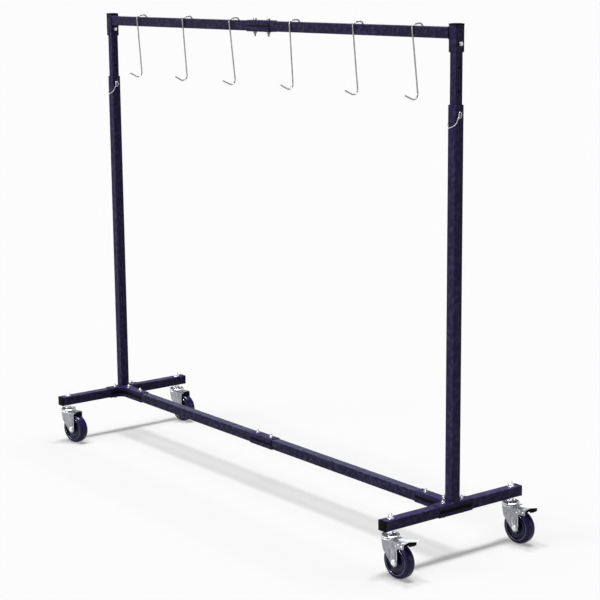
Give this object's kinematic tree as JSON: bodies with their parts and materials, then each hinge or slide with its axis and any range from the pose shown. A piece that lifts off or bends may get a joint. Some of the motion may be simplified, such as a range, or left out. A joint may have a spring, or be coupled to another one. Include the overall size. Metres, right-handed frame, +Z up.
{
  "type": "rolling tack rack",
  "caption": "Rolling, height-adjustable tack rack: two square posts on wheeled cross feet carry a long top bar with loose wire hooks for bridles, girths and other tack.",
  "frame": {"origin": "on the floor, under the middle of the whole object's bounding box", "axes": "+X along the top bar, towards the post whose casters have brakes; +Y along the feet; +Z up"},
  "size_m": [2.4694, 0.682, 1.9505],
  "materials": {
    "powder_coat": "smooth dark blue-black powder coat, semi-gloss",
    "zinc_plate": "bright zinc plate",
    "hook_wire": "drawn, zinc-plated round wire",
    "black_plastic": "moulded black plastic",
    "black_rubber": "moulded black tread and hub"
  },
  "bodies": {
    "base": {"foot_tube_left": "powder_coat", "foot_cap_left_front": "black_plastic", "foot_cap_left_rear": "black_plastic", "tee_shell_upper_left": "powder_coat", "tee_shell_lower_left": "powder_coat", "tee_bolt_foot_rear_left": "zinc_plate", "tee_bolt_foot_front_left": "zinc_plate", "tee_bolt_beam_near_left": "zinc_plate", "tee_bolt_beam_far_left": "zinc_plate", "base_beam_left": "powder_coat", "base_splice_bolt_left": "zinc_plate", "lower_post_left": "powder_coat", "caster_stem_left_front": "zinc_plate", "caster_stem_left_rear": "zinc_plate", "foot_tube_right": "powder_coat", "foot_cap_right_front": "black_plastic", "foot_cap_right_rear": "black_plastic", "tee_shell_upper_right": "powder_coat", "tee_shell_lower_right": "powder_coat", "tee_bolt_foot_rear_right": "zinc_plate", "tee_bolt_foot_front_right": "zinc_plate", "tee_bolt_beam_near_right": "zinc_plate", "tee_bolt_beam_far_right": "zinc_plate", "base_beam_right": "powder_coat", "base_splice_bolt_right": "zinc_plate", "lower_post_right": "powder_coat", "caster_stem_right_front": "zinc_plate", "caster_stem_right_rear": "zinc_plate", "base_splice_upper": "powder_coat", "base_splice_lower": "powder_coat"},
    "upper_frame": {"inner_post_left": "powder_coat", "top_bar_left": "powder_coat", "sleeve_cap_left": "black_plastic", "sleeve_bolt_left": "zinc_plate", "top_splice_bolt_left": "zinc_plate", "inner_post_right": "powder_coat", "top_bar_right": "powder_coat", "sleeve_cap_right": "black_plastic", "sleeve_bolt_right": "zinc_plate", "top_splice_bolt_right": "zinc_plate", "top_splice_upper": "powder_coat", "top_splice_lower": "powder_coat"},
    "hook_1": {"hook_1": "hook_wire"},
    "hook_2": {"hook_2": "hook_wire"},
    "hook_3": {"hook_3": "hook_wire"},
    "hook_4": {"hook_4": "hook_wire"},
    "hook_5": {"hook_5": "hook_wire"},
    "hook_6": {"hook_6": "hook_wire"},
    "lock_pin_left": {"lock_pin_left": "zinc_plate"},
    "caster_left_front": {"caster_fork_left_front": "zinc_plate"},
    "wheel_left_front": {"wheel_left_front": "black_rubber"},
    "caster_left_rear": {"caster_fork_left_rear": "zinc_plate"},
    "wheel_left_rear": {"wheel_left_rear": "black_rubber"},
    "lock_pin_right": {"lock_pin_right": "zinc_plate"},
    "caster_right_front": {"caster_fork_right_front": "zinc_plate"},
    "wheel_right_front": {"wheel_right_front": "black_rubber"},
    "pedal_right_front": {"brake_pedal_right_front": "zinc_plate"},
    "caster_right_rear": {"caster_fork_right_rear": "zinc_plate"},
    "wheel_right_rear": {"wheel_right_rear": "black_rubber"},
    "pedal_right_rear": {"brake_pedal_right_rear": "zinc_plate"}
  },
  "joints": [
    {"name": "height_slide", "type": "slide", "parent": "base", "child": "upper_frame", "axis": [0, 0, 1], "range_m": [-0.1652, 0.1652]},
    {"name": "hook_1_slide", "type": "slide", "parent": "upper_frame", "child": "hook_1", "axis": [1, 0, 0], "range_m": [-0.212, 0.349]},
    {"name": "hook_2_slide", "type": "slide", "parent": "upper_frame", "child": "hook_2", "axis": [1, 0, 0], "range_m": [-0.349, 0.334]},
    {"name": "hook_3_slide", "type": "slide", "parent": "upper_frame", "child": "hook_3", "axis": [1, 0, 0], "range_m": [-0.334, 0.108]},
    {"name": "hook_4_slide", "type": "slide", "parent": "upper_frame", "child": "hook_4", "axis": [1, 0, 0], "range_m": [-0.138, 0.379]},
    {"name": "hook_5_slide", "type": "slide", "parent": "upper_frame", "child": "hook_5", "axis": [1, 0, 0], "range_m": [-0.379, 0.324]},
    {"name": "hook_6_slide", "type": "slide", "parent": "upper_frame", "child": "hook_6", "axis": [1, 0, 0], "range_m": [-0.324, 0.164]},
    {"name": "lock_pin_left_turn", "type": "hinge", "parent": "base", "child": "lock_pin_left", "pos_m": [-1.19999, 0, 1.6328], "axis": [-1, 0, 0], "range_deg": [0, 95]},
    {"name": "caster_swivel_left_front", "type": "hinge", "parent": "base", "child": "caster_left_front", "pos_m": [-1.19999, -0.3, 0.144], "axis": [0, 0, 1], "continuous": true},
    {"name": "wheel_spin_left_front", "type": "hinge", "parent": "caster_left_front", "child": "wheel_left_front", "pos_m": [-1.155, -0.29044, 0.065], "axis": [-0.2079, 0.9781, 0], "continuous": true},
    {"name": "caster_swivel_left_rear", "type": "hinge", "parent": "base", "child": "caster_left_rear", "pos_m": [-1.19999, 0.3, 0.144], "axis": [0, 0, 1], "continuous": true},
    {"name": "wheel_spin_left_rear", "type": "hinge", "parent": "caster_left_rear", "child": "wheel_left_rear", "pos_m": [-1.15456, 0.3072, 0.065], "axis": [-0.1564, 0.9877, 0], "continuous": true},
    {"name": "lock_pin_right_turn", "type": "hinge", "parent": "base", "child": "lock_pin_right", "pos_m": [1.08601, 0, 1.6328], "axis": [-1, 0, 0], "range_deg": [0, 95]},
    {"name": "caster_swivel_right_front", "type": "hinge", "parent": "base", "child": "caster_right_front", "pos_m": [1.08601, -0.3, 0.144], "axis": [0, 0, 1], "continuous": true},
    {"name": "wheel_spin_right_front", "type": "hinge", "parent": "caster_right_front", "child": "wheel_right_front", "pos_m": [1.13194, -0.29759, 0.065], "axis": [-0.0523, 0.9986, 0], "continuous": true},
    {"name": "brake_right_front", "type": "hinge", "parent": "caster_right_front", "child": "pedal_right_front", "pos_m": [1.1609, -0.29607, 0.136], "axis": [-0.0523, 0.9986, 0], "range_deg": [0, 12]},
    {"name": "caster_swivel_right_rear", "type": "hinge", "parent": "base", "child": "caster_right_rear", "pos_m": [1.08601, 0.3, 0.144], "axis": [0, 0, 1], "continuous": true},
    {"name": "wheel_spin_right_rear", "type": "hinge", "parent": "caster_right_rear", "child": "wheel_right_rear", "pos_m": [1.1319, 0.30321, 0.065], "axis": [-0.0698, 0.9976, 0], "continuous": true},
    {"name": "brake_right_rear", "type": "hinge", "parent": "caster_right_rear", "child": "pedal_right_rear", "pos_m": [1.16082, 0.30523, 0.136], "axis": [-0.0698, 0.9976, 0], "range_deg": [0, 12]}
  ]
}
